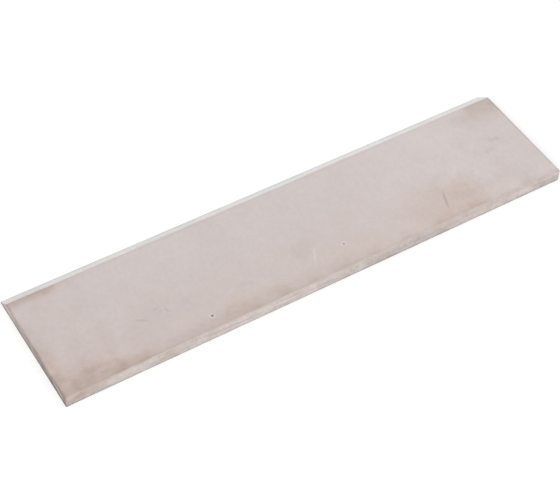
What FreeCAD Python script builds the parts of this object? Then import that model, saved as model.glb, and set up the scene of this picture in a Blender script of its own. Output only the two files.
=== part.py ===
import FreeCAD, Part
import os

import Sketcher

# Planer knife: one bar of high-speed steel, ground along one long side to a cutting edge.
# It lies on its seat face. X runs along the knife and Y from the spine to the cutting edge.
# The origin is under the middle of the bar, on the seat face, and +Z is up. Millimetres.
# It is modelled in the order in which it is made: the bar is ground flat and cut to length,
# its arrises are taken off, and the bevel is ground last, so that its own edges stay sharp.

DRIVING_SIZES = {
    "knife_length": 120.0,
    "knife_width": 30.0,
    "knife_thickness": 3.0,
    "edge_angle": 40.0,  # degrees, between the seat face and the bevel
    "spine_arris": 0.2,  # leg of the chamfer along the spine's two long edges
    "end_arris": 0.12,  # leg of the chamfer round each cut end
    "wheel_overrun": 1.0,  # how far the grinding cut runs past the bar on every side
}
TOLERANCE = 1e-6


def make_sheet(document):
    """Returns the spreadsheet that holds the driving sizes, one alias a row."""
    sheet = document.addObject("Spreadsheet::Sheet", "Sizes")
    for row, (alias, value) in enumerate(DRIVING_SIZES.items(), start=1):
        sheet.set(f"A{row}", alias)
        sheet.set(f"B{row}", str(value))
        sheet.setAlias(f"B{row}", alias)
    document.recompute()
    return sheet


def section_sketch(body, name):
    """Returns an empty sketch on the body's own YZ plane, where the knife's section is drawn."""
    plane = next(p for p in body.Origin.OriginFeatures if p.Role == "YZ_Plane")
    sketch = body.newObject("Sketcher::SketchObject", name)
    sketch.AttachmentSupport = [(plane, "")]
    sketch.MapMode = "FlatFace"
    return sketch


def draw_outline(sketch, corners):
    """Draws a closed outline of straight lines through the corners and joins their ends."""
    points = [FreeCAD.Vector(across, up, 0) for across, up in corners]
    for start, end in zip(points, points[1:] + points[:1]):
        sketch.addGeometry(Part.LineSegment(start, end))
    count = len(points)
    for line in range(count):
        sketch.addConstraint(Sketcher.Constraint("Coincident", line, 2, (line + 1) % count, 1))


def bind(sketch, name, constraint, expression):
    """Adds a named dimension to the sketch and ties it to the spreadsheet."""
    index = sketch.addConstraint(constraint)
    sketch.renameConstraint(index, name)
    sketch.setExpression(f"Constraints.{name}", expression)


def make_bar(body):
    """Returns the flat bar: a rectangle that stands on the seat face, padded both ways along X."""
    sketch = section_sketch(body, "BarSection")
    half_width = DRIVING_SIZES["knife_width"] / 2
    top = DRIVING_SIZES["knife_thickness"]
    seat, edge_side, clamped_side, spine = range(4)
    draw_outline(
        sketch, [(-half_width, 0), (half_width, 0), (half_width, top), (-half_width, top)]
    )
    for line in (seat, clamped_side):
        sketch.addConstraint(Sketcher.Constraint("Horizontal", line))
    for line in (edge_side, spine):
        sketch.addConstraint(Sketcher.Constraint("Vertical", line))
    sketch.addConstraint(Sketcher.Constraint("Symmetric", seat, 1, seat, 2, -1, 1))
    bind(
        sketch,
        "width",
        Sketcher.Constraint("DistanceX", seat, 1, seat, 2, 2 * half_width),
        "Sizes.knife_width",
    )
    bind(
        sketch,
        "thickness",
        Sketcher.Constraint("DistanceY", spine, 2, spine, 1, top),
        "Sizes.knife_thickness",
    )
    bar = body.newObject("PartDesign::Pad", "Bar")
    bar.Profile = sketch
    bar.SideType = "Symmetric"
    bar.setExpression("Length", "Sizes.knife_length")
    return bar


def edges_where(feature, belongs):
    """Returns the names of the feature's edges whose middle point passes the test."""
    found = []
    for number, edge in enumerate(feature.Shape.Edges, start=1):
        if belongs(edge.CenterOfMass):
            found.append(f"Edge{number}")
    return found


def take_off_arrises(body, base, name, edges, alias):
    """Returns a chamfer of equal legs on the base feature's named edges."""
    chamfer = body.newObject("PartDesign::Chamfer", name)
    chamfer.Base = (base, edges)
    chamfer.ChamferType = "Equal distance"
    chamfer.setExpression("Size", f"Sizes.{alias}")
    return chamfer


def make_arrises(document, body, bar):
    """Returns the bar without the arrises of its spine and ends. The edge's side stays sharp."""
    document.recompute()
    box = bar.Shape.BoundBox

    def on_spine(point):
        return abs(point.y - box.YMin) < TOLERANCE and abs(point.x) < TOLERANCE

    def round_an_end(point):
        at_end = abs(abs(point.x) - box.XMax) < TOLERANCE
        return at_end and point.y < box.YMax - TOLERANCE

    spine = take_off_arrises(body, bar, "SpineArris", edges_where(bar, on_spine), "spine_arris")
    document.recompute()
    ends = edges_where(spine, round_an_end)
    return take_off_arrises(body, spine, "EndArris", ends, "end_arris")


def grind_bevel(body):
    """Returns the cut that leaves the bevel, from the cutting edge up and back over the bar.

    The cut's section is what the wheel removes: its sloping side passes through the seat
    face's far corner, which becomes the cutting edge, and its other sides clear the bar.
    """
    sketch = section_sketch(body, "BevelSection")
    half_width = DRIVING_SIZES["knife_width"] / 2
    overrun = DRIVING_SIZES["wheel_overrun"]
    top = DRIVING_SIZES["knife_thickness"] + overrun
    bevel, above, beyond, below = range(4)
    draw_outline(
        sketch,
        [(half_width, 0), (half_width - top, top), (half_width + overrun, top), (half_width + overrun, 0)],
    )
    sketch.addConstraint(Sketcher.Constraint("Horizontal", above))
    sketch.addConstraint(Sketcher.Constraint("Vertical", beyond))
    sketch.addConstraint(Sketcher.Constraint("PointOnObject", bevel, 1, -1))
    sketch.addConstraint(Sketcher.Constraint("PointOnObject", below, 1, -1))
    bind(
        sketch,
        "edge_place",
        Sketcher.Constraint("DistanceX", -1, 1, bevel, 1, half_width),
        "Sizes.knife_width / 2",
    )
    bind(
        sketch,
        "overrun_beyond",
        Sketcher.Constraint("DistanceX", bevel, 1, below, 1, overrun),
        "Sizes.wheel_overrun",
    )
    bind(
        sketch,
        "overrun_above",
        Sketcher.Constraint("DistanceY", bevel, 1, bevel, 2, top),
        "Sizes.knife_thickness + Sizes.wheel_overrun",
    )
    bind(
        sketch,
        "run_back",
        Sketcher.Constraint("DistanceX", bevel, 2, bevel, 1, top),
        "(Sizes.knife_thickness + Sizes.wheel_overrun) / tan(Sizes.edge_angle * 1 deg)",
    )
    cut = body.newObject("PartDesign::Pocket", "Bevel")
    cut.Profile = sketch
    cut.SideType = "Symmetric"
    cut.setExpression("Length", "Sizes.knife_length + 2 * Sizes.wheel_overrun")
    return cut


def make_knife(document):
    """Returns the body of the finished knife."""
    body = document.addObject("PartDesign::Body", "PlanerKnife")
    body.Label = "planer_knife"
    body.Placement = FreeCAD.Placement()
    bar = make_bar(body)
    dressed = make_arrises(document, body, bar)
    document.recompute()
    bevel = grind_bevel(body)
    document.recompute()
    if bevel.Shape.Volume > dressed.Shape.Volume * 0.999:
        raise RuntimeError("the bevel's cut removed nothing from the bar")
    return body


def check_document(document):
    """Stops the script if any object failed to rebuild."""
    for item in document.Objects:
        if "Invalid" in item.State or "Error" in item.State:
            raise RuntimeError(f"{item.Name} didn't rebuild: {item.State}")


def write_part(body):
    """Checks a sub-part's solid and writes it to a STEP file under the sub-part's label."""
    shape = body.Shape
    if shape.isNull() or not shape.isValid() or len(shape.Solids) != 1:
        raise RuntimeError(f"{body.Label} isn't one valid solid")
    shape.exportStep(f"parts/{body.Label}.step")
    box = shape.BoundBox
    print(f"{body.Label}: {box.XLength:.3f} x {box.YLength:.3f} x {box.ZLength:.3f} mm,", end=" ")
    print(f"{len(shape.Faces)} faces, {shape.Volume:.1f} mm3")


os.makedirs("parts", exist_ok=True)
drawing = FreeCAD.newDocument("PlanerKnife")
make_sheet(drawing)
knife = make_knife(drawing)
check_document(drawing)
write_part(knife)
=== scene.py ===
"""A planer knife that lies on a white studio floor.

The knife is one bar of high-speed steel with a bevel ground along one long side. Its solid comes
with the frame. This script builds the surface that is seen in its place, which is the same bar
with unevenly worn arrises and a finish of its own on every side, and sets up the studio round it.

Lengths are in millimetres until a mesh, a lamp or the camera is made, which is in metres.
"""

from __future__ import annotations

import logging
import math
from collections.abc import Iterable, Mapping
from dataclasses import dataclass
from enum import Enum
from typing import Any

import bpy
import numpy as np
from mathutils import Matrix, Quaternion, Vector

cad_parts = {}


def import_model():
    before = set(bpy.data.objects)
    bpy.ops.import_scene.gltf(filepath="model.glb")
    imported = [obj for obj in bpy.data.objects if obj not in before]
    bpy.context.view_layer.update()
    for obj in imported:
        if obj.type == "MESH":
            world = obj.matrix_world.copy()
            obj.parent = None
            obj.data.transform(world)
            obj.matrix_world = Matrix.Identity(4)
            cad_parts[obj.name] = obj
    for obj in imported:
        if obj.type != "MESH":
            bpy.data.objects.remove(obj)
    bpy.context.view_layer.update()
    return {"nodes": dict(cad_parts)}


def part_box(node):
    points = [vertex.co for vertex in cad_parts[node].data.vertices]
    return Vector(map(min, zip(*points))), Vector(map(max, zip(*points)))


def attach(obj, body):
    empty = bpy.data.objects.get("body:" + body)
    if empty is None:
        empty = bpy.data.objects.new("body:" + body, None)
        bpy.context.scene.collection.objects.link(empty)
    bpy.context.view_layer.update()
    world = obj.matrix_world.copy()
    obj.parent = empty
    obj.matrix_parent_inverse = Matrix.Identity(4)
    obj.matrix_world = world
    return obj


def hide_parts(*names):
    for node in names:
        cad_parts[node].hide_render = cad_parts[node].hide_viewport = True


LOG = logging.getLogger("planer_knife")
MM = 0.001
NODE = "planer_knife"
BODY = "root"
SHEET = "OFBake"
ORIGIN = (0.0, 0.0, 0.0)
WHITE = (1.0, 1.0, 1.0)
LEVEL_TOLERANCE = 0.01

# The patterns that every finish has, in millimetres and degrees.
WOBBLE_NOISE = (0.22, 4.0, 0.6)  # scale, detail, roughness
WOBBLE_SIZE = 1.4
STREAKS = (0.8, 4.0, 5.0)  # pitch, run, seed
SMEARS = (115.0, 1.3, 3.2, 9.0)  # turn, pitch, run, seed
GRAIN = (3.0, 31.0)  # contrast, seed
BLOTCHES = (4.0, 47.0)  # contrast, seed

# How far patterns break the marks up, how bright a pit's ring is, and what changes the roughness.
SMEAR_BREAK = 0.6
STREAK_BREAK = 0.6
GRAIN_BREAK = 0.8
RING_STRENGTH = 0.3
STAIN_SHARE_OF_SOIL = 0.5
SOIL_ROUGHNESS = 0.2
LINE_ROUGHNESS = 0.12
RUBBED_ROUGHNESS = -0.08

Colour = tuple[float, float, float]
Row = tuple[float, ...]
Value = Any
Inputs = Mapping[str | int, Any]
Socket = bpy.types.NodeSocket


def screen(red: int, green: int, blue: int) -> Colour:
    """The linear colour that shows as an sRGB colour.

    A part up to 0.04045 is divided by 12.92, and a higher one plus 0.055 is divided by 1.055 and
    raised to the power 2.4.

    Args:
        red: the red part, from 0 to 255.
        green: the green part, from 0 to 255.
        blue: the blue part, from 0 to 255.

    Returns:
        The linear parts, from 0 to 1.
    """
    share = np.array([red, green, blue]) / 255
    linear = np.where(share <= 0.04045, share / 12.92, ((share + 0.055) / 1.055) ** 2.4)
    return tuple(float(part) for part in linear)


def smooth_step(value: np.ndarray) -> np.ndarray:
    """Rises from 0 to 1 as the value does, with a level start and end: 3 v^2 - 2 v^3."""
    v = np.clip(value, 0, 1)
    return v * v * (3 - 2 * v)


def add_object(name: str, data: bpy.types.ID) -> bpy.types.Object:
    """Makes an object at the origin and puts it into the scene.

    Args:
        name: the object's name.
        data: its mesh, lamp or camera.

    Returns:
        The object.
    """
    made = bpy.data.objects.new(name, data)
    bpy.context.scene.collection.objects.link(made)
    return made


class Side(Enum):
    """A side of the bar: the two axes of its grid, in the order that makes it face outwards, the
    axis that it stands on, and whether it stands at that axis's high end."""

    SEAT = (1, 0, 2, False)
    TOP = (0, 1, 2, True)
    SPINE = (0, 2, 1, False)
    BEVEL = (2, 0, 1, True)
    LEFT_END = (2, 1, 0, False)
    RIGHT_END = (1, 2, 0, True)


class Finish(Enum):
    """The finishes of the bar, in the order of its material slots."""

    SEAT = 0
    TOP = 1
    SPINE = 2
    BEVEL = 3
    LEFT_END = 4
    RIGHT_END = 5
    ARRIS = 6


@dataclass(frozen=True)
class Stations:
    """Stations along one axis of the bar: over its low arris, its flat and its high arris.

    Each array runs from 0 to 1 over its own stretch and keeps its value on both sides of it. A
    station's place is low * leg + flat * (extent - both legs) + high * leg.
    """

    low: np.ndarray
    flat: np.ndarray
    high: np.ndarray

    @classmethod
    def build(cls, low_steps: int, flat_steps: int, high_steps: int, lip: float) -> Stations:
        """Spaces the stations.

        Args:
            low_steps: steps over the low arris, or 0 where there is none.
            flat_steps: even steps over the flat.
            high_steps: steps over the high arris, or 0 where there is none.
            lip: the share of the flat that one more step takes at each of its ends, which keeps
                the arris's smooth shading off the flat.

        Returns:
            The stations, in order.
        """
        even = np.linspace(0, 1, flat_steps + 1)
        flat = np.concatenate([[0, lip], even[1:-1], [1 - lip, 1]])
        low = np.linspace(0, 1, low_steps + 1)[:-1]
        high = np.linspace(0, 1, high_steps + 1)[1:]
        return cls(
            np.concatenate([low, np.ones(len(flat) + high_steps)]),
            np.concatenate([np.zeros(low_steps), flat, np.ones(high_steps)]),
            np.concatenate([np.zeros(low_steps + len(flat)), high]),
        )

    @property
    def count(self) -> int:
        """Number of stations."""
        return len(self.flat)

    def place(
        self, index: np.ndarray, extent: float, low_leg: Value, high_leg: Value
    ) -> np.ndarray:
        """Distance of stations from the axis's low end, before the arris is rounded."""
        flat = extent - low_leg - high_leg
        return self.low[index] * low_leg + self.flat[index] * flat + self.high[index] * high_leg

    def lean(self, index: np.ndarray) -> np.ndarray:
        """How far stations lean into an arris: -1 at the low end, 0 on the flat, 1 at the high."""
        return self.high[index] - (1 - self.low[index])


@dataclass(frozen=True)
class Arrises:
    """How wide the bar's arrises are, in millimetres along each leg.

    The deburring wheel took more off the spine's upper arris towards the right end, and a
    ripple of three sines runs along every arris.
    """

    spine_upper_left: float = 0.13
    spine_upper_right: float = 0.6
    spine_lower: float = 0.16
    end: float = 0.13
    ripple_share: float = 0.28
    ripple_lengths: tuple[float, float, float] = (9.7, 4.3, 1.9)
    corner_reach: float = 1.2
    roundness: float = 1.8
    seed: int = 7

    def ripple(self, along: np.ndarray, which: int) -> np.ndarray:
        """Factor on an arris's width at places along it: one plus the mean of three sines.

        Args:
            along: the places, in millimetres.
            which: the arris's number, which sets the phases of its sines.

        Returns:
            One factor for each place.
        """
        phases = np.random.default_rng(self.seed + which).uniform(0, 2 * math.pi, 3)
        waves = [
            np.sin(2 * math.pi * along / length + phase)
            for length, phase in zip(self.ripple_lengths, phases)
        ]
        return 1 + self.ripple_share * sum(waves) / len(waves)

    def leg(self, x: np.ndarray, y: np.ndarray, length: float, upper: bool) -> np.ndarray:
        """Width of the arris nearest to places on the bar.

        Along the spine it is the spine's arris, and within two reaches of an end it turns into
        the end's, by a smooth step, so that the two meet at the corner.

        Args:
            x: places along the bar, from its middle.
            y: places across the bar, from its spine.
            length: the bar's length.
            upper: whether the arrises of the top are meant, and not those of the seat.

        Returns:
            One width for each place.
        """
        spine = np.full_like(x, self.spine_lower)
        if upper:
            share = x / length + 0.5
            spine = self.spine_upper_left + (self.spine_upper_right - self.spine_upper_left) * share
        spine = spine * self.ripple(x, int(upper))
        end = self.end * self.ripple(y, 2 + int(upper))
        near_end = smooth_step((np.abs(x) - length / 2) / self.corner_reach + 2)
        return spine + (end - spine) * near_end


@dataclass(frozen=True)
class Skin:
    """The bar's surface as a lattice: where its points are, and what its quads are made of.

    `index` has three lattice indices for each point, `quads` four points for each quad,
    `finishes` one finish for each quad, and `sheet` the place of each quad's corners on the
    sheet that the skin is laid out on, in shares of the sheet.
    """

    index: np.ndarray
    quads: np.ndarray
    finishes: np.ndarray
    sheet: np.ndarray


@dataclass(frozen=True)
class PlanerKnife:
    """The knife's surface, sized from the solid that it stands for."""

    length: float
    width: float
    thickness: float
    bevel_run: float
    arrises: Arrises = Arrises()
    arris_steps: int = 4
    flat_steps: tuple[int, int, int] = (300, 10, 3)
    lip: float = 0.1
    sheet_gap: float = 1.0
    sharp_angle: float = math.radians(30)

    @classmethod
    def from_solid(cls, solid: bpy.types.Object) -> PlanerKnife:
        """Reads the sizes from the solid's box, and the bevel's run from where its top ends.

        Args:
            solid: the frame's object for the knife's node.

        Returns:
            The knife.
        """
        low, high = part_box(solid.name)
        extent = (high - low) / MM
        places = np.zeros(len(solid.data.vertices) * 3, np.float32)
        solid.data.vertices.foreach_get("co", places)
        places = places.reshape(-1, 3)
        top_end = places[places[:, 2] > high.z - LEVEL_TOLERANCE * MM, 1].max()
        return cls(extent.x, extent.y, extent.z, (high.y - float(top_end)) / MM)

    @property
    def extents(self) -> tuple[float, float, float]:
        """The bar's length, width and thickness."""
        return self.length, self.width, self.thickness

    def stations(self) -> tuple[Stations, ...]:
        """Spaces the stations of the three axes. The bevel's side has no arris.

        Returns:
            The stations along, across and up the bar.
        """
        high_steps = (self.arris_steps, 0, self.arris_steps)
        return tuple(
            Stations.build(self.arris_steps, flats, high, self.lip / extent)
            for flats, high, extent in zip(self.flat_steps, high_steps, self.extents)
        )

    def points(self, index: np.ndarray, stations: tuple[Stations, ...]) -> np.ndarray:
        """Places of lattice points on the bar's surface.

        A plain block is laid out first, with each arris's stations inside its own legs. Each
        point then moves towards its arris's inner line by the factor max|d| / |d|_p, where d is
        how far it leans into the arris on each axis and p is the roundness. This turns a square
        corner into a superellipse and leaves the flats alone. Last, the block's far side is
        drawn in by the bevel's run, in proportion to the height.

        Args:
            index: lattice indices, one row of three for each point.
            stations: the stations of the three axes.

        Returns:
            One row of x, y, z for each point, with the origin under the middle of the bar.
        """
        i, j, k = index.T
        along, across, up = stations
        usual = self.arrises.end
        x = along.place(i, self.length, usual, usual) - self.length / 2
        y = across.place(j, self.width, usual, 0)
        seat_leg = self.arrises.leg(x, y, self.length, upper=False)
        top_leg = self.arrises.leg(x, y, self.length, upper=True)
        side_leg = seat_leg + (top_leg - seat_leg) * up.flat[k]
        block = np.stack(
            [
                along.place(i, self.length, side_leg, side_leg) - self.length / 2,
                across.place(j, self.width, side_leg, 0),
                up.place(k, self.thickness, seat_leg, top_leg),
            ],
            axis=1,
        )
        lean = np.stack([along.lean(i), across.lean(j), up.lean(k)], axis=1)
        legs = np.stack([side_leg, side_leg, np.where(lean[:, 2] < 0, seat_leg, top_leg)], axis=1)
        power = self.arrises.roundness
        norm = (np.abs(lean) ** power).sum(axis=1) ** (1 / power)
        factor = np.divide(np.abs(lean).max(axis=1), norm, out=np.ones_like(norm), where=norm > 0)
        block += lean * legs * (factor - 1)[:, None]
        drawn_in = 1 - block[:, 2] / self.thickness * self.bevel_run / self.width
        block[:, 1] = block[:, 1] * drawn_in - self.width / 2
        return block

    def sheet_rows(self) -> tuple[dict[Side, tuple[float, float, float]], float]:
        """Rows of the sheet that the sides are laid out on, one side above the other.

        Returns:
            For each side the sheet's place of its corner, along and up, and the factor on its
            height there, and then the height of the whole sheet.
        """
        slope = math.hypot(self.thickness, self.bevel_run)
        top_share = 1 - self.bevel_run / self.width
        rows = {}
        level = self.sheet_gap
        for side, height, factor in (
            (Side.TOP, self.width * top_share, top_share),
            (Side.SEAT, self.width, 1.0),
            (Side.BEVEL, slope, slope / self.thickness),
            (Side.SPINE, self.thickness, 1.0),
            (Side.LEFT_END, self.thickness, 1.0),
        ):
            rows[side] = (self.sheet_gap, level, factor)
            level += height + self.sheet_gap
        left, base, factor = rows[Side.LEFT_END]
        rows[Side.RIGHT_END] = (left + self.width + self.sheet_gap, base, factor)
        return rows, level

    def skin(self, stations: tuple[Stations, ...]) -> Skin:
        """Joins the grids of the six sides into one closed surface.

        Each side is a grid over two of the three axes, whose quads turn about the outward
        direction. Points that sides share are merged by their lattice index. On the sheet, each
        side is a rectangle with its longer axis along the sheet.

        Args:
            stations: the stations of the three axes.

        Returns:
            The surface.
        """
        shape = tuple(s.count for s in stations)
        leans = [np.abs(s.lean(np.arange(s.count))) for s in stations]
        leg = self.arrises.end
        places = [s.place(np.arange(s.count), e, leg, leg) for s, e in zip(stations, self.extents)]
        rows, sheet_height = self.sheet_rows()
        sheet_size = np.array([self.length + 2 * self.sheet_gap, sheet_height])
        quads, finishes, sheets = [], [], []
        for side in Side:
            u, v, fixed, at_high_end = side.value
            grid = np.zeros((shape[u], shape[v], 3), int)
            grid[..., u] = np.arange(shape[u])[:, None]
            grid[..., v] = np.arange(shape[v])[None, :]
            grid[..., fixed] = shape[fixed] - 1 if at_high_end else 0
            code = np.ravel_multi_index(tuple(np.moveaxis(grid, 2, 0)), shape)
            lean_u, lean_v = leans[u][:-1] + leans[u][1:], leans[v][:-1] + leans[v][1:]
            on_arris = (lean_u[:, None] + lean_v[None, :] > 0) & (side is not Side.BEVEL)
            over, high = np.meshgrid(places[u], places[v], indexing="ij")
            if self.extents[v] > self.extents[u]:
                over, high = high, self.extents[u] - over
            left, base, factor = rows[side]
            sheet = np.stack([left + over, base + factor * high], axis=2) / sheet_size
            quads.append(self.turns(code).reshape(-1, 4))
            sheets.append(self.turns(sheet).reshape(-1, 4, 2))
            finish = np.where(on_arris, Finish.ARRIS.value, Finish[side.name].value)
            finishes.append(finish.ravel())
        used, merged = np.unique(np.concatenate(quads), return_inverse=True)
        index = np.stack(np.unravel_index(used, shape), axis=1)
        return Skin(index, merged.reshape(-1, 4), np.concatenate(finishes), np.concatenate(sheets))

    @staticmethod
    def turns(grid: np.ndarray) -> np.ndarray:
        """The values at the four corners of each quad of a grid, in turn about its outside."""
        return np.stack([grid[:-1, :-1], grid[1:, :-1], grid[1:, 1:], grid[:-1, 1:]], axis=2)

    def build(self, materials: Mapping[Finish, bpy.types.Material]) -> bpy.types.Object:
        """Makes the knife's mesh object and dresses it.

        Args:
            materials: one material for each finish.

        Returns:
            The object, at the origin of the frame.
        """
        stations = self.stations()
        skin = self.skin(stations)
        mesh = bpy.data.meshes.new("knife")
        mesh.from_pydata(self.points(skin.index, stations) * MM, [], skin.quads)
        mesh.uv_layers.new(name=SHEET).uv.foreach_set("vector", skin.sheet.ravel())
        for finish in Finish:
            mesh.materials.append(materials[finish])
        mesh.polygons.foreach_set("material_index", skin.finishes.astype(np.int32))
        mesh.polygons.foreach_set("use_smooth", np.ones(len(skin.quads), bool))
        mesh.set_sharp_from_angle(angle=self.sharp_angle)
        mesh.update()
        return add_object("knife", mesh)


class Graph:
    """A shader node tree, with short ways to add nodes and join them."""

    def __init__(self, tree: bpy.types.NodeTree) -> None:
        """Takes the tree that the nodes go into."""
        self.tree = tree

    @classmethod
    def empty(cls, owner: bpy.types.Material | bpy.types.World) -> Graph:
        """Empties the tree of a material or world.

        Args:
            owner: the material or world.

        Returns:
            Its graph, with no nodes.
        """
        owner.use_nodes = True
        owner.node_tree.nodes.clear()
        return cls(owner.node_tree)

    def add(self, kind: str, inputs: Inputs | None = None, **settings: Any) -> bpy.types.Node:
        """Adds a node.

        Args:
            kind: the node's type.
            inputs: for inputs by name or number, a socket to join or a value to set.
            **settings: properties of the node.

        Returns:
            The node.
        """
        node = self.tree.nodes.new(kind)
        for name, value in settings.items():
            setattr(node, name, value)
        for key, value in (inputs or {}).items():
            if isinstance(value, Socket):
                self.tree.links.new(value, node.inputs[key])
            else:
                node.inputs[key].default_value = value
        return node

    def math(self, operation: str, *values: Value, clamp: bool = False) -> Socket:
        """Output of a Math node on the values."""
        inputs = dict(enumerate(values))
        return self.add("ShaderNodeMath", inputs, operation=operation, use_clamp=clamp).outputs[0]

    def vector(self, operation: str, *values: Value) -> bpy.types.Node:
        """A Vector Math node on the values."""
        return self.add("ShaderNodeVectorMath", dict(enumerate(values)), operation=operation)

    def combine(self, x: Value, y: Value, z: Value) -> Socket:
        """Vector of three values."""
        return self.add("ShaderNodeCombineXYZ", {0: x, 1: y, 2: z}).outputs[0]

    def ramp(self, value: Value, start: Value, end: Value, low: float, high: float) -> Socket:
        """Smooth step of the value, which is low at start and high at end."""
        inputs = {"Value": value, "From Min": start, "From Max": end, "To Min": low, "To Max": high}
        return self.add("ShaderNodeMapRange", inputs, interpolation_type="SMOOTHSTEP").outputs[0]

    def noise(self, position: Value, scale: Value, detail: float, roughness: float = 0.5) -> Socket:
        """Fractal noise from 0 to 1 at the position."""
        inputs = {"Vector": position, "Scale": scale, "Detail": detail, "Roughness": roughness}
        return self.add("ShaderNodeTexNoise", inputs, noise_dimensions="3D").outputs[0]

    def mix(self, factor: Value, first: Value, second: Value, blend: str = "MIX") -> Socket:
        """Colour between the first and the second, by the blend's rule."""
        inputs = {0: factor, 6: opaque(first), 7: opaque(second)}
        return self.add("ShaderNodeMix", inputs, data_type="RGBA", blend_type=blend).outputs[2]

    def place(self, effect: bpy.types.NodeTree, **inputs: Value) -> Any:
        """Outputs of an effect, given its inputs by name, in which _ stands for a space."""
        named = {name.replace("_", " "): value for name, value in inputs.items()}
        return self.add("ShaderNodeGroup", named, node_tree=effect).outputs


def opaque(colour: Value) -> Value:
    """A colour with an alpha of 1, or the socket as it is."""
    return colour if isinstance(colour, Socket) else (*colour, 1.0)


class Effects:
    """The effects that the finishes share, each one a node group with named sockets.

    Positions are in millimetres, and each group puts out masks or values that vary over the
    surface. A group with a Below input adds its own mask to the one that it is given there.
    The bounds of a pit's soft edges are in radii.
    """

    MASK = {"Below": 0.0, "Strength": 1.0}
    LINE_NOISE = (1.0, 3.0, 0.65)  # scale, detail, roughness
    CLOUD_DETAIL = 3.0
    PATCH_SOFTNESS = 0.55
    PIT_CORE_EDGE = (0.5, 1.3)
    PIT_RING_RISE = (1.0, 1.7)
    PIT_RING_FALL = (2.0, 3.4)

    def __init__(self) -> None:
        """Builds each effect once."""
        self.lines = self._lines()
        self.clouds = self._clouds()
        self.patch = self._patch()
        self.scratch = self._scratch()
        self.pit = self._pit()
        self.rim = self._rim()

    @staticmethod
    def _start(name: str, inputs: Inputs, outputs: Iterable[str]) -> tuple[Graph, Any, Any]:
        """Makes an empty effect.

        Args:
            name: the group's name.
            inputs: the default of each input. A tuple makes it a vector.
            outputs: the names of the outputs, which are numbers.

        Returns:
            The group's graph, the sockets that its inputs come from and those its outputs go to.
        """
        tree = bpy.data.node_groups.new(name, "ShaderNodeTree")
        for socket, default in inputs.items():
            kind = "NodeSocketVector" if isinstance(default, tuple) else "NodeSocketFloat"
            made = tree.interface.new_socket(socket, in_out="INPUT", socket_type=kind)
            made.default_value = default
        for socket in outputs:
            tree.interface.new_socket(socket, in_out="OUTPUT", socket_type="NodeSocketFloat")
        graph = Graph(tree)
        return graph, graph.add("NodeGroupInput").outputs, graph.add("NodeGroupOutput").inputs

    @staticmethod
    def _add_mask(graph: Graph, mask: Socket, start: Any, end: Any) -> bpy.types.NodeTree:
        """Puts out a mask times Strength, added to Below.

        Args:
            graph: the group's graph.
            mask: the effect's own mask.
            start: the sockets that the group's inputs come from.
            end: the sockets that its outputs go to.

        Returns:
            The group.
        """
        total = graph.math("MULTIPLY_ADD", mask, start["Strength"], start["Below"], clamp=True)
        graph.tree.links.new(total, end["Mask"])
        return graph.tree

    def _lines(self) -> bpy.types.NodeTree:
        """Grinding lines: noise squeezed to the pitch across them and stretched to their run.

        They run along the position's Y once it is turned about Z.

        Returns:
            The group.
        """
        inputs = {"Position": ORIGIN, "Turn": 0.0, "Pitch": 0.4, "Run": 8.0, "Seed": 0.0}
        graph, start, end = self._start("Grinding lines", inputs, ["Height"])
        turn = {"Vector": start["Position"], "Angle": start["Turn"]}
        turned = graph.add("ShaderNodeVectorRotate", turn, rotation_type="Z_AXIS").outputs[0]
        size = graph.combine(start["Pitch"], start["Run"], start["Pitch"])
        seed = graph.combine(start["Seed"], start["Seed"], 0.0)
        moved = graph.vector("ADD", graph.vector("DIVIDE", turned, size).outputs[0], seed)
        graph.tree.links.new(graph.noise(moved.outputs[0], *self.LINE_NOISE), end["Height"])
        return graph.tree

    def _clouds(self) -> bpy.types.NodeTree:
        """Clouds: soft noise of a given size, spread about one half by its contrast.

        Returns:
            The group.
        """
        inputs = {"Position": ORIGIN, "Size": 10.0, "Contrast": 1.0, "Seed": 0.0}
        graph, start, end = self._start("Clouds", inputs, ["Value"])
        seed = graph.combine(start["Seed"], 0.0, start["Seed"])
        moved = graph.vector("ADD", start["Position"], seed).outputs[0]
        noise = graph.noise(moved, graph.math("DIVIDE", 1.0, start["Size"]), self.CLOUD_DETAIL)
        centred = graph.math("SUBTRACT", noise, 0.5)
        spread = graph.math("MULTIPLY_ADD", centred, start["Contrast"], 0.5, clamp=True)
        graph.tree.links.new(spread, end["Value"])
        return graph.tree

    def _patch(self) -> bpy.types.NodeTree:
        """Patch: an ellipse with a soft edge that a wobble makes ragged.

        The distance is the length of the offset from the centre, turned and divided by the half
        sizes, plus the wobble. The mask falls from the strength to 0 as it passes 1.

        Returns:
            The group.
        """
        inputs = {**self.MASK, "Position": ORIGIN, "Wobble": 0.0, "Centre": ORIGIN, "Turn": 0.0}
        inputs["Half size"] = (1.0, 1.0, 1.0)
        graph, start, end = self._start("Patch", inputs, ["Mask"])
        offset = graph.vector("SUBTRACT", start["Position"], start["Centre"]).outputs[0]
        turn = {"Vector": offset, "Angle": start["Turn"]}
        turned = graph.add("ShaderNodeVectorRotate", turn, rotation_type="Z_AXIS", invert=True)
        share = graph.vector("DIVIDE", turned.outputs[0], start["Half size"]).outputs[0]
        away = graph.vector("LENGTH", share).outputs["Value"]
        distance = graph.math("ADD", away, start["Wobble"])
        soft = self.PATCH_SOFTNESS
        mask = graph.ramp(distance, 1 - soft, 1 + soft, 1.0, 0.0)
        return self._add_mask(graph, mask, start, end)

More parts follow.
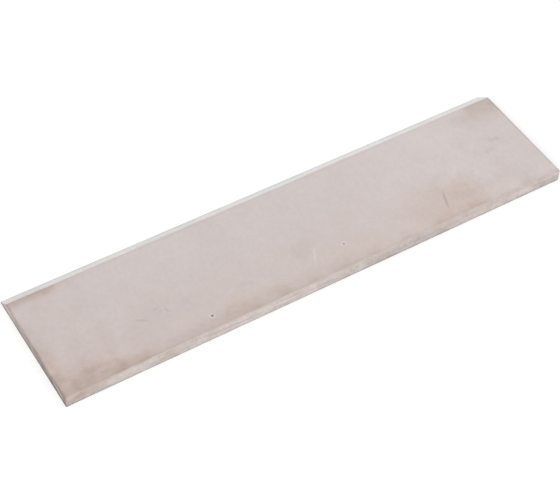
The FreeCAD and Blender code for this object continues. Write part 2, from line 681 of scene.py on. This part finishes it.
    def _scratch(self) -> bpy.types.NodeTree:
        """Scratch: the distance from a straight stretch, cut off softly at the half width.

        The place along the stretch is the projection of the offset on it, held from 0 to 1, and
        the mask fades out towards both ends by 4 s (1 - s).

        Returns:
            The group.
        """
        inputs = {**self.MASK, "Position": ORIGIN, "Start": ORIGIN, "Half width": 0.2}
        inputs["Way"] = (1.0, 0.0, 0.0)
        graph, start, end = self._start("Scratch", inputs, ["Mask"])
        offset = graph.vector("SUBTRACT", start["Position"], start["Start"]).outputs[0]
        onto = graph.vector("DOT_PRODUCT", offset, start["Way"]).outputs["Value"]
        square = graph.vector("DOT_PRODUCT", start["Way"], start["Way"]).outputs["Value"]
        share = graph.math("DIVIDE", onto, square, clamp=True)
        along = {0: start["Way"], "Scale": share}
        along = graph.add("ShaderNodeVectorMath", along, operation="SCALE").outputs[0]
        away = graph.vector("DISTANCE", offset, along).outputs["Value"]
        line = graph.ramp(away, 0.0, start["Half width"], 1.0, 0.0)
        rest = graph.math("MULTIPLY", share, graph.math("SUBTRACT", 1.0, share))
        fade = graph.math("MULTIPLY", line, graph.math("MULTIPLY", rest, 4.0, clamp=True))
        return self._add_mask(graph, fade, start, end)

    def _pit(self) -> bpy.types.NodeTree:
        """Pit: a small dark core and the brighter ring round it, by the distance in radii.

        Returns:
            The group.
        """
        inputs = {"Position": ORIGIN, "Centre": ORIGIN, "Radius": 0.25}
        graph, start, end = self._start("Pit", inputs, ["Core", "Ring"])
        away = graph.vector("DISTANCE", start["Position"], start["Centre"]).outputs["Value"]
        share = graph.math("DIVIDE", away, start["Radius"])
        graph.tree.links.new(graph.ramp(share, *self.PIT_CORE_EDGE, 1.0, 0.0), end["Core"])
        rise = graph.ramp(share, *self.PIT_RING_RISE, 0.0, 1.0)
        fall = graph.ramp(share, *self.PIT_RING_FALL, 1.0, 0.0)
        graph.tree.links.new(graph.math("MULTIPLY", rise, fall), end["Ring"])
        return graph.tree

    def _rim(self) -> bpy.types.NodeTree:
        """Rim: a band beside an edge that falls to 0 at its reach, which the wobble varies.

        Returns:
            The group.
        """
        inputs = {**self.MASK, "Wobble": 0.0, "Distance": 1.0, "Reach": 1.0}
        graph, start, end = self._start("Rim", inputs, ["Mask"])
        share = graph.math("DIVIDE", start["Distance"], start["Reach"])
        mask = graph.ramp(graph.math("ADD", share, start["Wobble"]), 0.0, 1.0, 1.0, 0.0)
        return self._add_mask(graph, mask, start, end)


class Axis(Enum):
    """The bar's axes."""

    ALONG = 0
    ACROSS = 1
    UP = 2


class Plane(Enum):
    """The two axes that a finish's marks are placed by."""

    WIDE = (Axis.ALONG, Axis.ACROSS)
    SPINE = (Axis.ALONG, Axis.UP)
    END = (Axis.ACROSS, Axis.UP)


@dataclass(frozen=True)
class Patch:
    """A stained or rubbed place on the finish's plane, in millimetres, its turn in degrees."""

    centre: tuple[float, float]
    half_size: tuple[float, float]
    strength: float
    turn: float = 0.0


@dataclass(frozen=True)
class Scratch:
    """A straight scratch, by where it starts on the finish's plane and how it goes on."""

    start: tuple[float, float]
    way: tuple[float, float]
    strength: float
    half_width: float = 0.22


@dataclass(frozen=True)
class Pit:
    """A small pit in the finish's plane."""

    centre: tuple[float, float]
    radius: float


@dataclass(frozen=True)
class Rim:
    """A band beside an edge, by its distance from a place on an axis, with its reach."""

    axis: Axis
    place: float
    reach: float
    strength: float


@dataclass(frozen=True)
class Wear:
    """Marks of one kind: patches, scratches and bands beside edges, which add up."""

    patches: tuple[Patch, ...] = ()
    scratches: tuple[Scratch, ...] = ()
    rims: tuple[Rim, ...] = ()

    @classmethod
    def of(
        cls, patches: Iterable[Row] = (), scratches: Iterable[Row] = (), rims: Iterable[Rim] = ()
    ) -> Wear:
        """Makes the marks from rows of numbers.

        Args:
            patches: each one's centre, half size and strength, and its turn if it has one.
            scratches: each one's start, way and strength, and its half width if it isn't the
                usual one.
            rims: the bands beside edges.

        Returns:
            The marks.
        """
        return cls(
            tuple(Patch(row[:2], row[2:4], *row[4:]) for row in patches),
            tuple(Scratch(row[:2], row[2:4], *row[4:]) for row in scratches),
            tuple(rims),
        )


@dataclass(frozen=True)
class Site:
    """Where a finish goes on: its graph, the effects, and the place on the bar.

    Positions are in millimetres from the bar's left end, its spine and its seat. The flat one
    has the plane's two coordinates and 0, and the wobble is a slow noise about 0.
    """

    graph: Graph
    effects: Effects
    position: Socket
    flat: Socket
    wobble: Socket

    @classmethod
    def open(cls, graph: Graph, effects: Effects, knife: PlanerKnife, plane: Plane) -> Site:
        """Starts a finish's graph.

        Args:
            graph: the material's graph.
            effects: the shared effects.
            knife: the bar that it goes on.
            plane: the axes that its marks are placed by.

        Returns:
            The site.
        """
        coordinates = graph.add("ShaderNodeTexCoord").outputs["Object"]
        corner = (knife.length / 2, knife.width / 2, 0.0)
        mapping = {"Vector": coordinates, "Scale": (1 / MM,) * 3, "Location": corner}
        position = graph.add("ShaderNodeMapping", mapping).outputs[0]
        parts = graph.add("ShaderNodeSeparateXYZ", {0: position}).outputs
        first, second = (parts[axis.value] for axis in plane.value)
        flat = graph.combine(first, second, 0.0)
        slow = graph.noise(position, *WOBBLE_NOISE)
        wobble = graph.math("MULTIPLY", graph.math("SUBTRACT", slow, 0.5), WOBBLE_SIZE)
        return cls(graph, effects, position, flat, wobble)

    def lines(self, turn: float, pitch: float, run: float, seed: float = 0.0) -> Socket:
        """Height of grinding lines, turned by the degrees."""
        inputs = {"Turn": math.radians(turn), "Pitch": pitch, "Run": run, "Seed": seed}
        return self.graph.place(self.effects.lines, Position=self.flat, **inputs)["Height"]

    def clouds(self, size: float, contrast: float, seed: float = 0.0) -> Socket:
        """Value of soft clouds of the size."""
        inputs = {"Size": size, "Contrast": contrast, "Seed": seed}
        return self.graph.place(self.effects.clouds, Position=self.position, **inputs)["Value"]

    def mask(self, wear: Wear) -> Value:
        """Adds up the masks of the marks, and holds the sum at 1.

        Args:
            wear: the marks.

        Returns:
            The mask, or 0 where there are no marks.
        """
        marks: list[tuple[bpy.types.NodeTree, float, dict[str, Value]]] = []
        for patch in wear.patches:
            form = {"Centre": (*patch.centre, 0.0), "Half size": (*patch.half_size, 1.0)}
            form.update(Position=self.flat, Wobble=self.wobble, Turn=math.radians(patch.turn))
            marks.append((self.effects.patch, patch.strength, form))
        for scratch in wear.scratches:
            form = {"Start": (*scratch.start, 0.0), "Way": (*scratch.way, 0.0)}
            form.update({"Position": self.flat, "Half width": scratch.half_width})
            marks.append((self.effects.scratch, scratch.strength, form))
        for rim in wear.rims:
            parts = self.graph.add("ShaderNodeSeparateXYZ", {0: self.position}).outputs
            past = self.graph.math("SUBTRACT", parts[rim.axis.value], rim.place)
            form = {"Distance": self.graph.math("ABSOLUTE", past), "Reach": rim.reach}
            marks.append((self.effects.rim, rim.strength, {**form, "Wobble": self.wobble}))
        mask: Value = 0.0
        for effect, strength, form in marks:
            mask = self.graph.place(effect, Below=mask, Strength=strength, **form)["Mask"]
        return mask


@dataclass(frozen=True)
class SteelFinish:
    """A finish of the steel: its tone, its grinding lines, its gloss and the marks on it.

    The tone drifts between the dull and the bright colour in clouds, and is bluer in small
    blotches. The stains tint it brown, the grime and painted shade grey it, and the rubbed places
    and painted reflections show bright metal. The grinding lines run along the second axis of the
    plane, or along the first where the turn is 90 degrees.
    """

    name: str
    plane: Plane
    bright: Colour
    dull: Colour
    cloud_size: float = 16.0
    cloud_contrast: float = 2.0
    mottle: float = 0.12
    mottle_size: float = 1.2
    grain_size: float = 0.8
    grain_tone: float = 0.03
    streak_tone: float = 0.05
    line_tone: float = 0.03
    turn: float = 0.0
    line_pitch: float = 0.42
    line_run: float = 9.0
    line_depth: float = 0.003
    roughness: float = 0.36
    stains: Wear = Wear()
    # grey marks: dirt, and painted shade along the seat edges of the ends, the spine and the
    # arrises
    grime_and_shade: Wear = Wear()
    # bright marks: rubbed metal, and on the left end a painted reflection towards the bevel
    rubbed_and_reflection: Wear = Wear()
    cuts: Wear = Wear()
    pits: tuple[Pit, ...] = ()
    cool_tint: Colour = (0.93, 0.99, 1.08)
    stain_tint: Colour = (0.985, 0.896, 0.822)
    # the grey of dirt and of painted shade
    grime_and_shade_tint: Colour = (0.60, 0.595, 0.59)
    # the bright metal of rubbed marks and of the painted reflection
    rubbed_and_reflection_colour: Colour = (0.72, 0.69, 0.68)
    cut_tint: Colour = (0.60, 0.54, 0.50)
    pit_colour: Colour = (0.2, 0.17, 0.16)
    cut_depth: float = 0.004
    pit_depth: float = 0.04

    def material(self, effects: Effects, knife: PlanerKnife) -> bpy.types.Material:
        """Makes the finish's material.

        Args:
            effects: the shared effects.
            knife: the bar that it goes on.

        Returns:
            The material, whose pattern reads Object coordinates.
        """
        material = bpy.data.materials.new(self.name)
        graph = Graph.empty(material)
        site = Site.open(graph, effects, knife, self.plane)
        height = site.lines(self.turn, self.line_pitch, self.line_run)
        lines = graph.math("SUBTRACT", height, 0.5)
        streaks = site.lines(self.turn, *STREAKS)
        smears = site.lines(*SMEARS)
        grain = site.clouds(self.grain_size, *GRAIN)
        patchy = self.broken(graph, smears, SMEAR_BREAK)
        streaky = graph.math("MULTIPLY", patchy, self.broken(graph, streaks, STREAK_BREAK))
        grainy = self.broken(graph, grain, GRAIN_BREAK)
        stains = graph.math("MULTIPLY", site.mask(self.stains), patchy)
        # mask of dirt and of painted shade along seat edges
        grime_and_shade = graph.math("MULTIPLY", site.mask(self.grime_and_shade), streaky)
        # mask of rubbed metal and of painted reflection
        rubbed_and_reflection = graph.math("MULTIPLY", site.mask(self.rubbed_and_reflection), grainy)
        cuts = site.mask(self.cuts)
        patterns = (grain, self.grain_tone), (streaks, self.streak_tone), (height, self.line_tone)
        colour = self.tone(site, *patterns)
        colour = graph.mix(stains, colour, self.stain_tint, "MULTIPLY")
        colour = graph.mix(grime_and_shade, colour, self.grime_and_shade_tint, "MULTIPLY")
        colour = graph.mix(rubbed_and_reflection, colour, self.rubbed_and_reflection_colour)
        colour = graph.mix(cuts, colour, self.cut_tint, "MULTIPLY")
        relief = graph.math("MULTIPLY", lines, self.line_depth)
        relief = graph.math("MULTIPLY_ADD", cuts, -self.cut_depth, relief)
        for pit in self.pits:
            hole = graph.place(
                effects.pit, Position=site.flat, Centre=(*pit.centre, 0.0), Radius=pit.radius
            )
            ring = graph.math("MULTIPLY", hole["Ring"], RING_STRENGTH)
            colour = graph.mix(ring, colour, self.rubbed_and_reflection_colour)
            colour = graph.mix(hole["Core"], colour, self.pit_colour)
            relief = graph.math("MULTIPLY_ADD", hole["Core"], -self.pit_depth, relief)
        soil_and_shade = graph.math("MULTIPLY_ADD", stains, STAIN_SHARE_OF_SOIL, grime_and_shade)
        rough = graph.math("MULTIPLY_ADD", lines, LINE_ROUGHNESS, self.roughness)
        rough = graph.math("MULTIPLY_ADD", soil_and_shade, SOIL_ROUGHNESS, rough)
        rough = graph.math("MULTIPLY_ADD", rubbed_and_reflection, RUBBED_ROUGHNESS, rough)
        bump = graph.add("ShaderNodeBump", {"Height": relief, "Distance": MM}).outputs[0]
        look = {"Base Color": colour, "Roughness": rough, "Normal": bump, "Metallic": 1.0}
        shader = graph.add("ShaderNodeBsdfPrincipled", look).outputs[0]
        graph.add("ShaderNodeOutputMaterial", {"Surface": shader})
        return material

    @staticmethod
    def broken(graph: Graph, pattern: Socket, amount: float) -> Socket:
        """Factor that breaks a mask up: 1, plus the pattern about one half times the amount."""
        return graph.math("MULTIPLY_ADD", graph.math("SUBTRACT", pattern, 0.5), amount, 1.0)

    def tone(self, site: Site, *patterns: tuple[Socket, float]) -> Socket:
        """The bare metal's colour.

        Args:
            site: where it goes on.
            *patterns: patterns that are laid over its clouds, each with its strength.

        Returns:
            The colour.
        """
        graph = site.graph
        drift = site.clouds(self.cloud_size, self.cloud_contrast)
        colour = graph.mix(drift, self.dull, self.bright)
        blotches = site.clouds(self.mottle_size, *BLOTCHES)
        blotches = graph.math("MULTIPLY", blotches, self.mottle)
        colour = graph.mix(blotches, colour, self.cool_tint, "MULTIPLY")
        for pattern, strength in patterns:
            factor = self.broken(graph, pattern, strength)
            colour = graph.vector("MULTIPLY", colour, factor).outputs[0]
        return colour


def top_marks(knife: PlanerKnife) -> dict[str, Any]:
    """The marks of the top: browned beside the spine and at three corners, with a few scratches.

    Args:
        knife: the bar that they are on.

    Returns:
        The marks of each kind, by the finish's fields.
    """
    shoulder = knife.width - knife.bevel_run
    return dict(
        stains=Wear.of(
            patches=[
                (46, -3, 74, 17, 0.26), (0, 17, 14, 16, 0.2), (40, -1, 62, 4.2, 0.22),
                (4, 2, 9, 5.5, 0.3, -12), (12.5, 1, 8.5, 3, 0.36, -8), (-0.5, 9, 3, 7, 0.36),
                (4, 26.3, 6, 1.8, 0.4), (12, 26.4, 9, 2, 0.18), (41, 2, 3.6, 3.8, 0.3),
                (50.4, 1.5, 2.2, 1.6, 0.25), (69, 3.5, 5.5, 3.4, 0.16), (92, 4.5, 10, 6, 0.32),
                (97, 3.6, 4.8, 4, 0.17, -10), (116.2, 23.6, 5.6, 4.6, 0.36, -20),
                (115.6, 25.6, 2.6, 1.2, 0.3),
            ],
        ),
        grime_and_shade=Wear.of(
            patches=[
                (4.5, 1, 10, 5, 0.2, -12), (13.5, 1.6, 5.5, 1.9, 0.2, -6),
                (8.8, 1.5, 2.4, 0.9, 0.12), (3.3, 2.2, 1.1, 1.2, 0.08), (1, 5, 1.3, 1.6, 0.2),
                (6.6, 3.6, 1.6, 0.8, 0.1), (-1, 8, 3.2, 10, 0.17), (4, 26.5, 8, 1.5, 0.35),
                (4.2, 23, 1.6, 0.8, 0.06), (36, -0.5, 36, 3.2, 0.22), (92, -0.5, 30, 2.2, 0.08),
                (112, 1, 3, 1.2, 0.05), (24, 8, 9, 4.5, 0.07), (41, 1.6, 3.2, 2.4, 0.1),
                (43.7, 7.3, 0.9, 0.5, 0.1), (45.2, 6.8, 0.8, 0.5, 0.09), (50.3, 1.4, 1.6, 1.2, 0.1),
                (97.8, 3, 3.8, 3.2, 0.09), (93, 4, 9, 6, 0.1), (116.8, 24.6, 4.2, 2.4, 0.2),
                (119, 24.6, 0.7, 1, 0.14), (112.3, 15.2, 0.6, 0.9, 0.18),
                (113.7, 15, 0.7, 0.6, 0.17), (110.4, 12.7, 1.2, 0.7, 0.1),
                (109.2, 9.5, 1.5, 1.2, 0.07), (108.8, 23.6, 2.2, 1.6, 0.1),
                (25.3, 10.4, 0.6, 0.5, 0.12), (26, 9.4, 0.6, 0.4, 0.16),
                (27.1, 9.2, 0.4, 0.8, 0.16), (59, 9, 2.6, 1.8, 0.11, 60), (121, 15, 16, 16, 0.12),
                (2, 18, 13, 13, 0.09), (60, 0, 75, 17, 0.04),
            ],
            rims=[
                Rim(Axis.ACROSS, 0.0, 1.4, 0.13), Rim(Axis.ALONG, 0.0, 0.45, 0.42),
                Rim(Axis.ALONG, knife.length, 0.6, 0.45), Rim(Axis.ACROSS, shoulder, 0.6, 0.16),
            ],
        ),
        rubbed_and_reflection=Wear.of(
            scratches=[
                (23.3, 8.3, 0.1, -2.4, 0.25), (24.1, 8.2, 0, -2.1, 0.2),
                (59.2, 3.8, 2.6, 5, 0.28, 0.48), (58.4, 4.4, 1.6, 3.2, 0.15, 0.3),
                (61.4, 4.6, 1, 2.4, 0.14, 0.3), (40.6, 9.2, -0.8, 3.6, 0.12, 0.3),
                (106, 9.8, 2, 1.8, 0.15, 0.3),
            ],
        ),
        cuts=Wear.of(
            scratches=[
                (20, 10.1, 2.8, -1.5, 0.34, 0.4), (27, 9.3, 0.5, -1, 0.22),
                (94.2, 8.4, -1.9, -5.5, 0.52, 0.5),
            ],
        ),
        pits=(Pit((34.3, 3.26), 0.26), Pit((67.5, 6.0), 0.2)),
    )


def seat_marks(knife: PlanerKnife) -> dict[str, Any]:
    """The marks of the seat, which the photograph hides: light stains and rub marks.

    Args:
        knife: the bar that they are on.

    Returns:
        The marks of each kind, by the finish's fields.
    """
    return dict(
        stains=Wear.of(
            patches=[
                (60, 30, 75, 9, 0.16), (116, 4, 9, 6, 0.38), (14, 27, 11, 4.5, 0.34),
                (71, 12, 9, 5, 0.16, 30),
            ],
        ),
        grime_and_shade=Wear.of(
            patches=[(118, 3, 8, 5, 0.2), (33, 8, 6, 3, 0.08, -20), (84, 24, 9, 3, 0.08)],
            rims=[
                Rim(Axis.ACROSS, 0.0, 1.2, 0.18), Rim(Axis.ALONG, 0.0, 0.8, 0.18),
                Rim(Axis.ALONG, knife.length, 0.8, 0.18),
            ],
        ),
        rubbed_and_reflection=Wear.of(
            scratches=[(18, 16, 21, 2, 0.22), (52, 6, 26, -1.5, 0.2), (88, 18, 3, -8, 0.22)],
        ),
        cuts=Wear.of(scratches=[(40, 20, 3.5, 2, 0.25), (101, 11, -2, -3, 0.25)]),
        pits=(Pit((77.0, 19.0), 0.22),),
    )


def spine_marks(knife: PlanerKnife) -> dict[str, Any]:
    """The marks of the spine: beige towards the top, greyer towards the seat partly as painted
    shade, rubbed streaks.

    Args:
        knife: the bar that they are on.

    Returns:
        The marks of each kind, by the finish's fields.
    """
    top = knife.thickness
    return dict(
        stains=Wear.of(
            patches=[(3, top, 10, 1.4, 0.26), (4, 0.9, 6.5, 1.5, 0.22), (20, 1.4, 9, 1.2, 0.17)],
            rims=[Rim(Axis.UP, top, 3.0, 0.55)],
        ),
        # The band along the seat edge and the long low patch are partly painted shade, the shaded
        # floor that the spine reflects.
        grime_and_shade=Wear.of(
            patches=[
                (5.2, 1, 4.4, 1.5, 0.34), (25.5, 0.9, 1.8, 1.3, 0.14), (79, 1.3, 13, 2.4, 0.21),
                (92, 0, 36, 0.7, 0.12), (118, 1.1, 3.6, 1.3, 0.26),
            ],
            rims=[Rim(Axis.UP, 0.0, 0.7, 0.55), Rim(Axis.ALONG, 0.0, 0.7, 0.3)],
        ),
        rubbed_and_reflection=Wear.of(
            patches=[
                (42, 2.6, 8, 0.7, 0.25), (44.5, 0.9, 5.5, 1.2, 0.22), (15, 1.8, 5, 1.1, 0.28),
                (30.5, 0.8, 2.6, 1.3, 0.26), (65, 1.2, 3.5, 0.8, 0.14), (96, 0.8, 4.5, 1, 0.17),
                (109.8, 2, 2.4, 0.7, 0.38), (117.5, 2.7, 3, 0.5, 0.35),
            ],
            scratches=[
                (34, 2.5, 44, 0.1, 0.5, 0.26), (34, 1.9, 24, 0.2, 0.38, 0.24),
                (52, 2, 24, -0.2, 0.4, 0.24), (68, 2.3, 28, -0.2, 0.35, 0.24),
                (78, 1.4, 26, 0.2, 0.3, 0.24), (10, 2.3, 22, -0.4, 0.3, 0.24),
                (44.5, 1.6, 10, 0.1, 0.4, 0.3),
            ],
        ),
        cuts=Wear.of(
            scratches=[
                (38, 2.2, 20, 0.1, 0.22, 0.24), (52, 1.6, 20, -0.1, 0.2, 0.24),
                (72, 1.8, 24, -0.1, 0.24, 0.24), (96, 2, 18, 0.1, 0.2, 0.24),
                (14, 1.2, 20, -0.1, 0.2, 0.24), (29.5, 2, 14, -0.6, 0.42, 0.35),
                (44, 0.9, 12, 0, 0.35, 0.3), (45.5, 2.35, 9, 0, 0.36, 0.3),
            ],
        ),
    )


def end_bands(knife: PlanerKnife) -> tuple[list[Rim], list[Rim]]:
    """The bands of both cut ends: the stained one of the top, the dark ones of spine and seat."""
    stained = Rim(Axis.UP, knife.thickness, 2.6, 0.55)
    # The dark band along the seat edge is partly painted contact shadow.
    return [stained], [Rim(Axis.ACROSS, 0.0, 0.5, 0.5), Rim(Axis.UP, 0.0, 1.3, 0.62)]


def left_end_marks(knife: PlanerKnife) -> dict[str, Any]:
    """The marks of the left end: dark along both long edges, along the seat partly as painted
    contact shadow, bright where rubbed, and brighter towards the bevel as a painted reflection.

    Args:
        knife: the bar that they are on.

    Returns:
        The marks of each kind, by the finish's fields.
    """
    top = knife.thickness
    stained, dark = end_bands(knife)
    return dict(
        stains=Wear.of(
            patches=[(4.5, 1.7, 2.2, 1.1, 0.4), (25.5, 0.3, 5.5, 1, 0.6)],
            rims=stained,
        ),
        # The low patches and the dark bands darken the seat edge, partly as painted contact shadow.
        grime_and_shade=Wear.of(
            patches=[
                (4, top, 9, 0.8, 0.45), (4, 0.9, 9, 1.2, 0.5), (4.6, 1.5, 1.8, 0.9, 0.28),
                (13.5, 1.6, 1.8, 1, 0.12), (22.5, 0.3, 8, 0.9, 0.4), (26.9, 0.6, 2.6, 1, 0.2),
                (28, 1.9, 1.2, 0.5, 0.45), (10.3, 2.4, 0.9, 0.4, 0.35),
            ],
            rims=dark,
        ),
        rubbed_and_reflection=Wear.of(
            # Painted reflection: brighter towards the bevel, where the end sees more of the lit
            # floor.
            patches=[(27, 1.9, 6, 1.7, 0.29)],
            scratches=[
                (0.8, 1.5, 3, 0.5, 0.55, 0.45), (2.6, 2, 3.4, -0.3, 0.38, 0.4),
                (6.6, 2, 2.4, 0.1, 0.4, 0.38), (11.2, 1.8, 2.4, 0.1, 0.28, 0.36),
            ],
        ),
        # The low cut also darkens the seat edge near the bevel, partly as painted contact shadow.
        cuts=Wear.of(scratches=[(25.4, 0.35, 5.2, 0, 0.5, 0.45)]),
    )


def right_end_marks(knife: PlanerKnife) -> dict[str, Any]:
    """The marks of the right end, which the photograph hides.

    Args:
        knife: the bar that they are on.

    Returns:
        The marks of each kind, by the finish's fields.
    """
    top = knife.thickness
    stained, dark = end_bands(knife)
    return dict(
        stains=Wear.of(rims=stained),
        grime_and_shade=Wear.of(
            patches=[(7, 0.8, 6, 1.2, 0.32), (17, top, 7, 0.8, 0.3), (26, 0.6, 5, 1, 0.25)],
            rims=dark,
        ),
        rubbed_and_reflection=Wear.of(
            patches=[(21, 1.6, 6, 1.2, 0.22)],
            scratches=[(10, 1.9, 4.2, -0.4, 0.3, 0.4), (18.5, 1.2, 5, 0.4, 0.25, 0.4)],
        ),
    )


def finishes(knife: PlanerKnife) -> dict[Finish, SteelFinish]:
    """The finishes of the knife's sides and arrises, with their tones, lines and marks.

    Args:
        knife: the bar that they go on.

    Returns:
        Each finish, by its place in the order of the material slots.
    """
    top = knife.thickness
    ground = dict(
        plane=Plane.WIDE,
        bright=screen(208, 198, 196),
        dull=screen(204, 194, 191),
        mottle=0.16,
        mottle_size=3.4,
        grain_tone=0.045,
        line_tone=0.045,
    )
    cloudy = dict(cloud_size=3.0, cloud_contrast=2.5, streak_tone=0.2)
    # The ends' darker tone is partly the cut steel's own colour and partly painted shade.
    cut_end_and_shade = dict(
        **cloudy,
        plane=Plane.END,
        bright=screen(174, 164, 158),
        dull=screen(148, 137, 131),
        mottle=0.4,
        line_pitch=0.5,
        line_depth=0.015,
        roughness=0.48,
    )
    return {
        Finish.SEAT: SteelFinish("seat_ground_steel", **ground, **seat_marks(knife)),
        Finish.TOP: SteelFinish("top_ground_steel", **ground, **top_marks(knife)),
        Finish.SPINE: SteelFinish(
            "spine_ground_steel",
            Plane.SPINE,
            screen(210, 201, 198),
            screen(193, 184, 180),
            cloud_size=3.0,
            cloud_contrast=2.6,
            mottle=0.4,
            mottle_size=1.8,
            grain_tone=0.12,
            streak_tone=0.2,
            turn=90.0,
            line_pitch=0.35,
            line_run=12.0,
            roughness=0.42,
            **spine_marks(knife),
        ),
        Finish.BEVEL: SteelFinish(
            "bevel_bright_steel",
            Plane.SPINE,
            screen(215, 211, 210),
            screen(209, 205, 204),
            mottle=0.35,
            line_tone=0.36,
            line_pitch=0.22,
            roughness=0.28,
            stains=Wear.of(patches=[(0, 3, 9, 2.2, 0.4)], rims=[Rim(Axis.UP, top, 1.6, 0.6)]),
            grime_and_shade=Wear.of(
                patches=[(0, 1.2, 75, 1.6, 0.13)],
                rims=[Rim(Axis.UP, 0.0, 1.9, 0.26), Rim(Axis.UP, top, 0.9, 0.19)],
            ),
        ),
        Finish.LEFT_END: SteelFinish("left_end_cut_steel_and_shade", **cut_end_and_shade, **left_end_marks(knife)),
        Finish.RIGHT_END: SteelFinish("right_end_cut_steel_and_shade", **cut_end_and_shade, **right_end_marks(knife)),
        Finish.ARRIS: SteelFinish(
            "arris_worn_steel",
            Plane.WIDE,
            screen(210, 200, 196),
            screen(196, 186, 180),
            **cloudy,
            turn=90.0,
            roughness=0.32,
            stains=Wear.of(rims=[Rim(Axis.UP, top, 1.2, 0.4)]),
            grime_and_shade=Wear.of(
                patches=[
                    (95, 0, 34, 1.2, 0.05), (3, 0, 10, 0.8, 0.2), (0, 3.8, 0.8, 2.6, 0.4),
                    (0, 12.6, 0.8, 1.8, 0.3), (0, 26.5, 0.8, 1.8, 0.2),
                ],
                rims=[
                    Rim(Axis.ALONG, 0.0, 0.6, 0.45), Rim(Axis.ALONG, knife.length, 0.6, 0.5),
                    # darkens the lower arrises at the seat, partly as painted contact shadow
                    Rim(Axis.UP, 0.0, 0.7, 0.8),
                ],
            ),
            grime_and_shade_tint=(0.42, 0.38, 0.36),
        ),
    }


@dataclass(frozen=True)
class SoftBox:
    """A square lamp that points at the knife. Place and size in metres, power in watts."""

    name: str
    place: tuple[float, float, float]
    size: float
    power: float

    def build(self) -> bpy.types.Object:
        """Makes the lamp.

        Returns:
            The lamp's object.
        """
        lamp = bpy.data.lights.new(self.name, "AREA")
        lamp.shape = "SQUARE"
        lamp.size = self.size
        lamp.energy = self.power
        box = add_object(self.name, lamp)
        box.location = self.place
        box.rotation_mode = "QUATERNION"
        box.rotation_quaternion = (-Vector(self.place)).to_track_quat("-Z", "Y")
        return box


@dataclass(frozen=True)
class StudioCamera:
    """The camera: what it aims at, where it stands from there, and its lens.

    The azimuth is 0 where it looks along +Y and 90 where it looks along -X. Angles in degrees,
    aim and distance in millimetres, the aim from the frame's origin, the lens for a sensor 36 mm
    wide, and the nearest distance that it sees in metres.
    """

    aim: tuple[float, float, float] = (-4.525, -3.189, 1.5)
    distance: float = 325.68
    azimuth: float = -33.528
    elevation: float = 49.599
    roll: float = 2.664
    lens: float = 100.38
    clip_start: float = 0.01

    def build(self) -> bpy.types.Object:
        """Makes the camera and gives it to the scene.

        Returns:
            The camera's object.
        """
        around, above = math.radians(self.azimuth), math.radians(self.elevation)
        level = math.cos(above)
        back = Vector((math.sin(around) * level, -math.cos(around) * level, math.sin(above)))
        camera = add_object("camera", bpy.data.cameras.new("camera"))
        camera.data.lens = self.lens
        camera.data.clip_start = self.clip_start
        camera.location = (Vector(self.aim) + back * self.distance) * MM
        camera.rotation_mode = "QUATERNION"
        rolled = Quaternion((0.0, 0.0, 1.0), math.radians(self.roll))
        camera.rotation_quaternion = (-back).to_track_quat("-Z", "Y") @ rolled
        bpy.context.scene.camera = camera
        return camera


@dataclass(frozen=True)
class Studio:
    """A white floor under plain soft light, with the camera."""

    floor_half_size: float = 2.0
    floor_colour: Colour = (0.85, 0.85, 0.85)
    floor_lift: float = 0.25
    white: float = 1.0
    fill: float = 0.65
    camera: StudioCamera = StudioCamera()
    boxes: tuple[SoftBox, ...] = (
        SoftBox("key_box", (-0.75, -0.6, 1.1), 1.2, 10.5),
        SoftBox("side_box", (1.1, 0.5, 0.65), 0.9, 0.75),
    )

    @staticmethod
    def seen_as_white(graph: Graph) -> Socket:
        """Tells the rays that see plain white: from the camera, from gloss and through glass.

        Args:
            graph: the graph of the floor's material or of the world.

        Returns:
            1 for those rays, and 0 for all others.
        """
        path = graph.add("ShaderNodeLightPath").outputs
        seen = graph.math("ADD", path["Is Camera Ray"], path["Is Glossy Ray"], clamp=True)
        return graph.math("ADD", seen, path["Is Transmission Ray"], clamp=True)

    def build_floor(self) -> bpy.types.Object:
        """Makes the floor, which stays white where it is seen and keeps the knife's shadow.

        Returns:
            The floor's object.
        """
        half = self.floor_half_size
        corners = [(-half, -half, 0), (half, -half, 0), (half, half, 0), (-half, half, 0)]
        mesh = bpy.data.meshes.new("floor")
        mesh.from_pydata(corners, [], [(0, 1, 2, 3)])
        floor = add_object("floor", mesh)
        material = bpy.data.materials.new("floor_white")
        graph = Graph.empty(material)
        look = {
            "Base Color": opaque(self.floor_colour),
            "Roughness": 1.0,
            "Specular IOR Level": 0.0,
            "Emission Color": opaque(WHITE),
            "Emission Strength": graph.math("MULTIPLY", self.seen_as_white(graph), self.floor_lift),
        }
        shader = graph.add("ShaderNodeBsdfPrincipled", look).outputs[0]
        graph.add("ShaderNodeOutputMaterial", {"Surface": shader})
        mesh.materials.append(material)
        return floor

    def build_world(self) -> bpy.types.World:
        """Makes the world: a plain fill, and white where it is seen.

        Returns:
            The world.
        """
        world = bpy.data.worlds.new("studio")
        graph = Graph.empty(world)
        seen = self.seen_as_white(graph)
        strength = graph.math("MULTIPLY_ADD", seen, self.white - self.fill, self.fill)
        light = graph.add("ShaderNodeBackground", {"Color": opaque(WHITE), "Strength": strength})
        graph.add("ShaderNodeOutputWorld", {"Surface": light.outputs[0]})
        bpy.context.scene.world = world
        return world

    def build(self) -> None:
        """Makes the whole studio."""
        self.build_floor()
        self.build_world()
        for box in self.boxes:
            box.build()
        self.camera.build()
        bpy.context.scene.view_settings.view_transform = "Standard"


def main() -> None:
    """Builds the knife and the studio."""
    logging.basicConfig(level=logging.INFO, format="%(name)s: %(message)s")
    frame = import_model()
    shape = PlanerKnife.from_solid(frame["nodes"][NODE])
    effects = Effects()
    materials = {key: finish.material(effects, shape) for key, finish in finishes(shape).items()}
    knife = shape.build(materials)
    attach(knife, BODY)
    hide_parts(NODE)
    quads = len(knife.data.polygons)
    LOG.info("knife: %d quads, %.1f x %.1f x %.1f mm", quads, *knife.dimensions / MM)
    Studio().build()
    LOG.info("studio: floor, world, lamps and camera")


if __name__ == "__main__":
    main()
